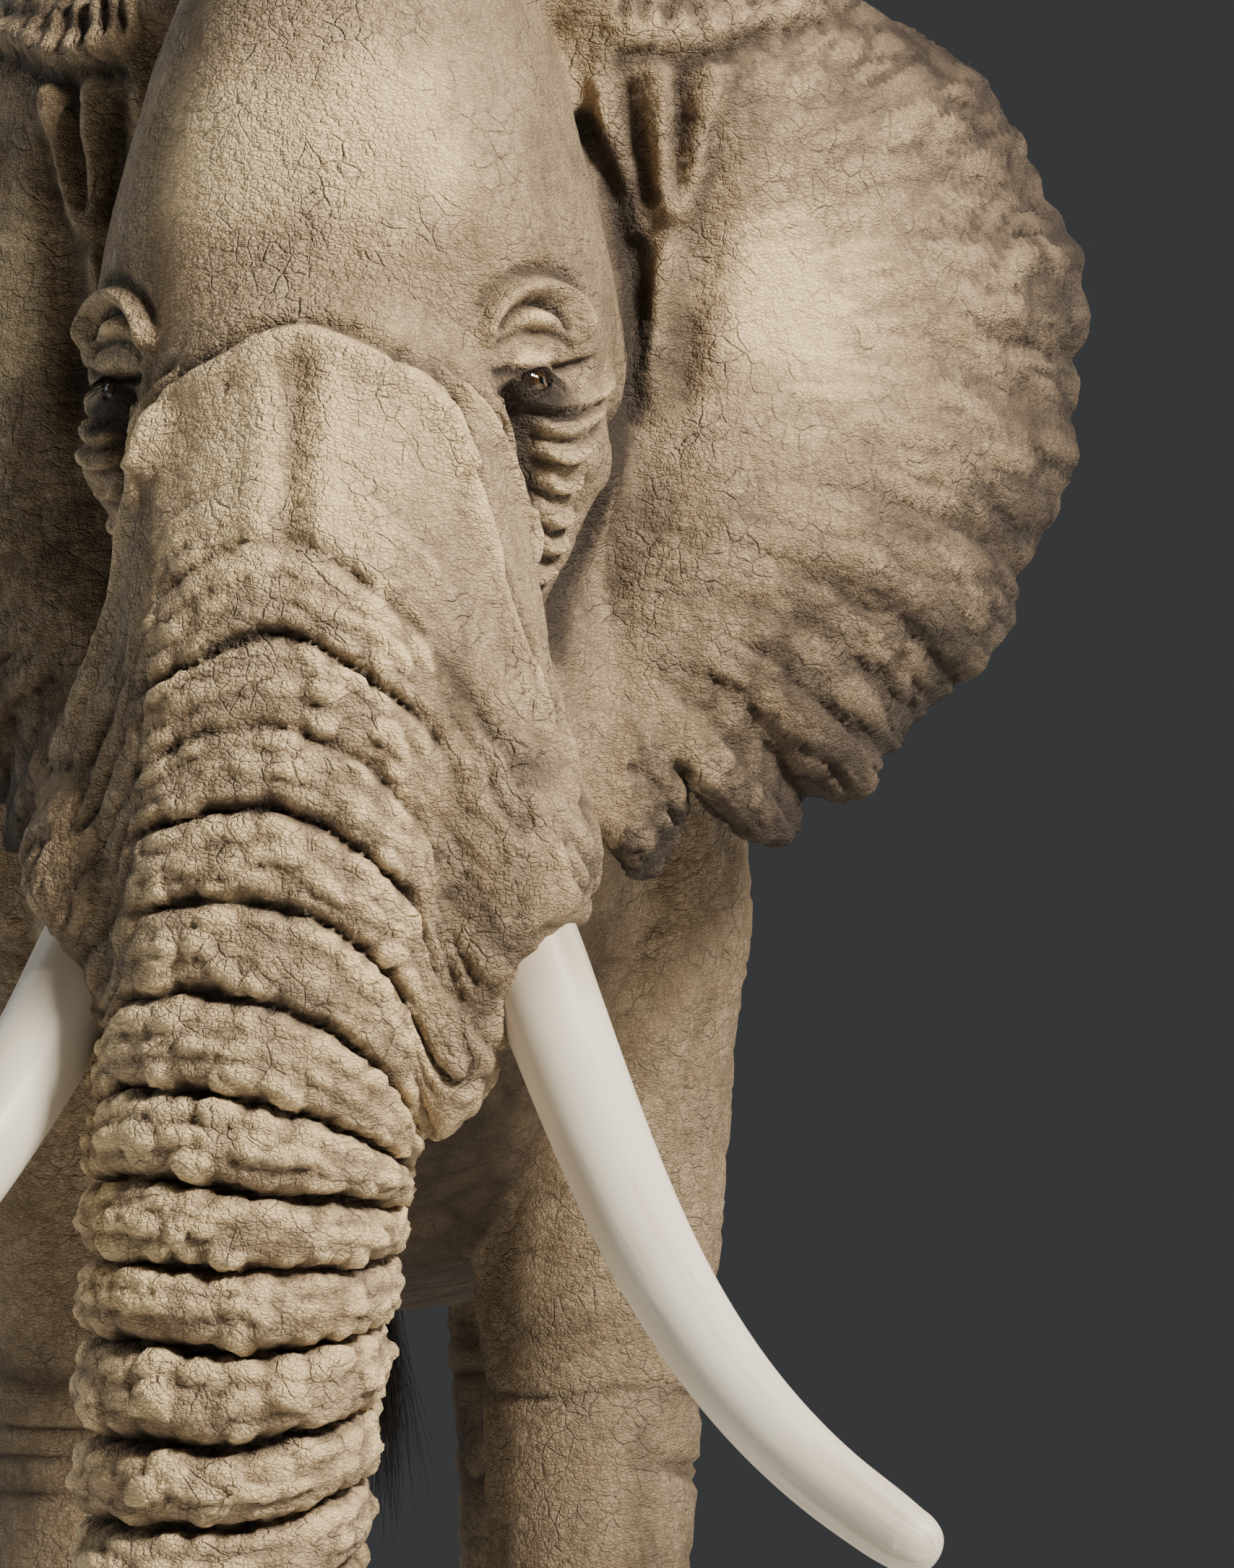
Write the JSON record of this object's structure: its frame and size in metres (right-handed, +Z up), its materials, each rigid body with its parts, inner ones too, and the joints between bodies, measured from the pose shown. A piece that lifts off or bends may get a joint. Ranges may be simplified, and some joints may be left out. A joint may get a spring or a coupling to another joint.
{
  "type": "elephant",
  "caption": "Standing African bush elephant bull with fanned ears, hanging trunk, long curved tusks and a tufted tail, as a still life-size model.",
  "frame": {"origin": "on the floor, under the middle of the model's box", "axes": "+Z up; the bull faces -Y with its left side at +X, its head turned 9 degrees to its right"},
  "size_m": [2.1492, 5.1538, 3.4169],
  "materials": {
    "skin": "dry, deeply wrinkled grey-brown hide with pale dust",
    "ivory": "smooth cream ivory, a little worn",
    "nail": "rough dull horn",
    "eye": "wet, dark brown",
    "hair": "stiff black hair"
  },
  "bodies": {
    "root": {"ear_left": "skin", "ear_right": "skin", "foot_front_left": "skin", "foot_front_right": "skin", "foot_hind_left": "skin", "foot_hind_right": "skin", "head": "skin", "leg_front_left": "skin", "leg_front_right": "skin", "leg_hind_left": "skin", "leg_hind_right": "skin", "lower_jaw": "skin", "neck": "skin", "tail": "skin", "torso": "skin", "trunk_lower": "skin", "trunk_middle": "skin", "trunk_upper": "skin", "eye_left": "eye", "eye_right": "eye", "tusk_left": "ivory", "tusk_right": "ivory", "tail_tuft": "hair", "nail_front_left_1": "nail", "nail_front_left_2": "nail", "nail_front_left_3": "nail", "nail_front_left_4": "nail", "nail_front_right_1": "nail", "nail_front_right_2": "nail", "nail_front_right_3": "nail", "nail_front_right_4": "nail", "nail_hind_left_1": "nail", "nail_hind_left_2": "nail", "nail_hind_left_3": "nail", "nail_hind_right_1": "nail", "nail_hind_right_2": "nail", "nail_hind_right_3": "nail"}
  },
  "joints": []
}
